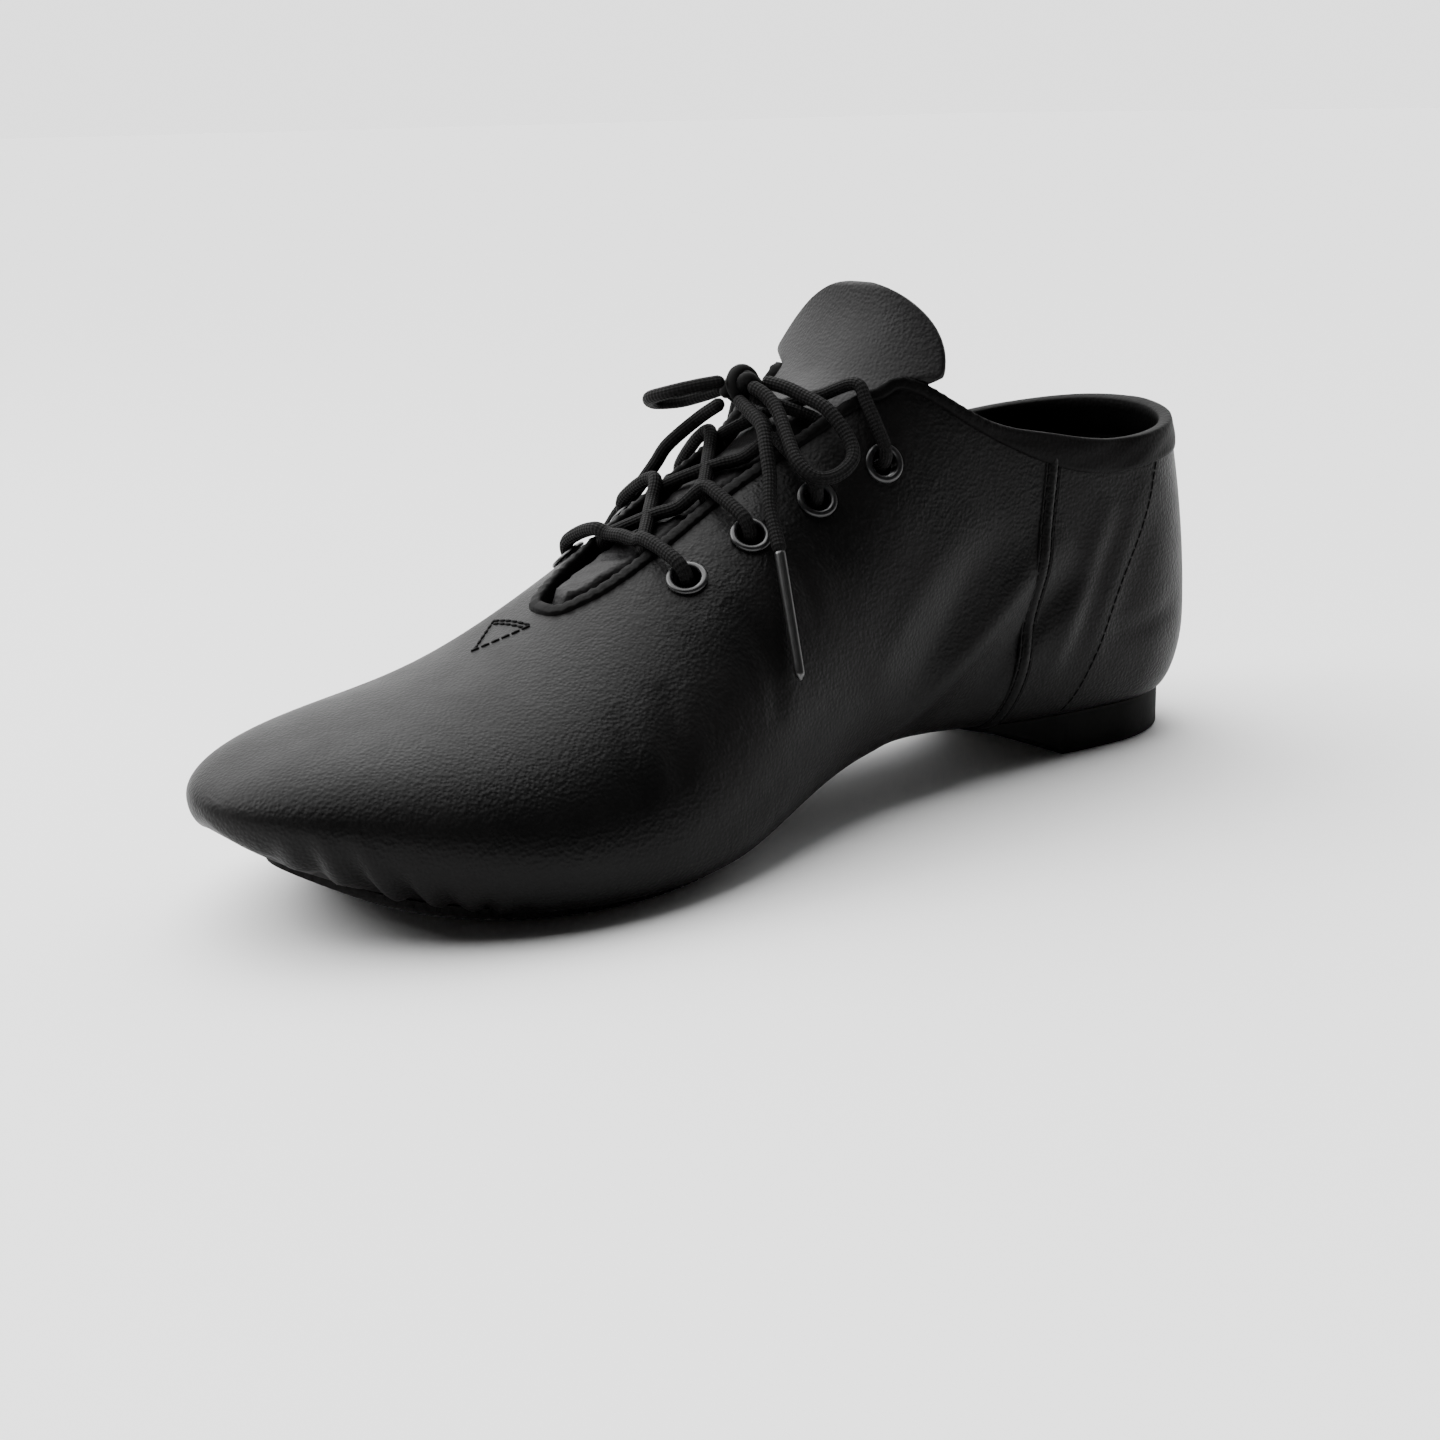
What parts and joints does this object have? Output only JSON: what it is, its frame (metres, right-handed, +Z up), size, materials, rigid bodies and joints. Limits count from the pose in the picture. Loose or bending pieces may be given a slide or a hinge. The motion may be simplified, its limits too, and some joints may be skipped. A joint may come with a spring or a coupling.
{
  "type": "jazz shoe",
  "caption": "Low lace-up dance shoe with a soft hollow upper, standing tongue, bow-tied lace, separate forefoot sole and low heel block.",
  "frame": {"origin": "middle of the shoe's footprint on the floor, with the soles standing on z = 0", "axes": "+X runs from the toe to the heel along the shoe's length, +Y towards the inner side of the foot, +Z up"},
  "size_m": [0.232, 0.0828, 0.1006],
  "materials": {
    "upper_leather": "soft full-grain black leather, satin",
    "tongue_leather": "fine-grained black leather, satin",
    "sole_suede": "black suede, matte",
    "heel_rubber": "black moulded rubber, matte",
    "insole_lining": "dark woven lining",
    "eyelet_metal": "black enamelled metal, gloss",
    "lace_braid": "round braided cord",
    "lace_tip": "clear film over black cord, gloss"
  },
  "bodies": {
    "root": {"upper": "upper_leather", "forefoot_sole": "sole_suede", "heel": "heel_rubber", "insole": "insole_lining", "tongue": "tongue_leather", "eyelet_outer_1": "eyelet_metal", "eyelet_outer_2": "eyelet_metal", "eyelet_outer_3": "eyelet_metal", "eyelet_outer_4": "eyelet_metal", "eyelet_inner_1": "eyelet_metal", "eyelet_inner_2": "eyelet_metal", "eyelet_inner_3": "eyelet_metal", "eyelet_inner_4": "eyelet_metal", "lace_crossings": "lace_braid", "lace_knot": "lace_braid", "lace_loop_outer": "lace_braid", "lace_loop_inner": "lace_braid", "lace_end_outer": "lace_braid", "lace_end_inner": "lace_braid", "aglet_outer": "lace_tip", "aglet_inner": "lace_tip"}
  },
  "joints": []
}
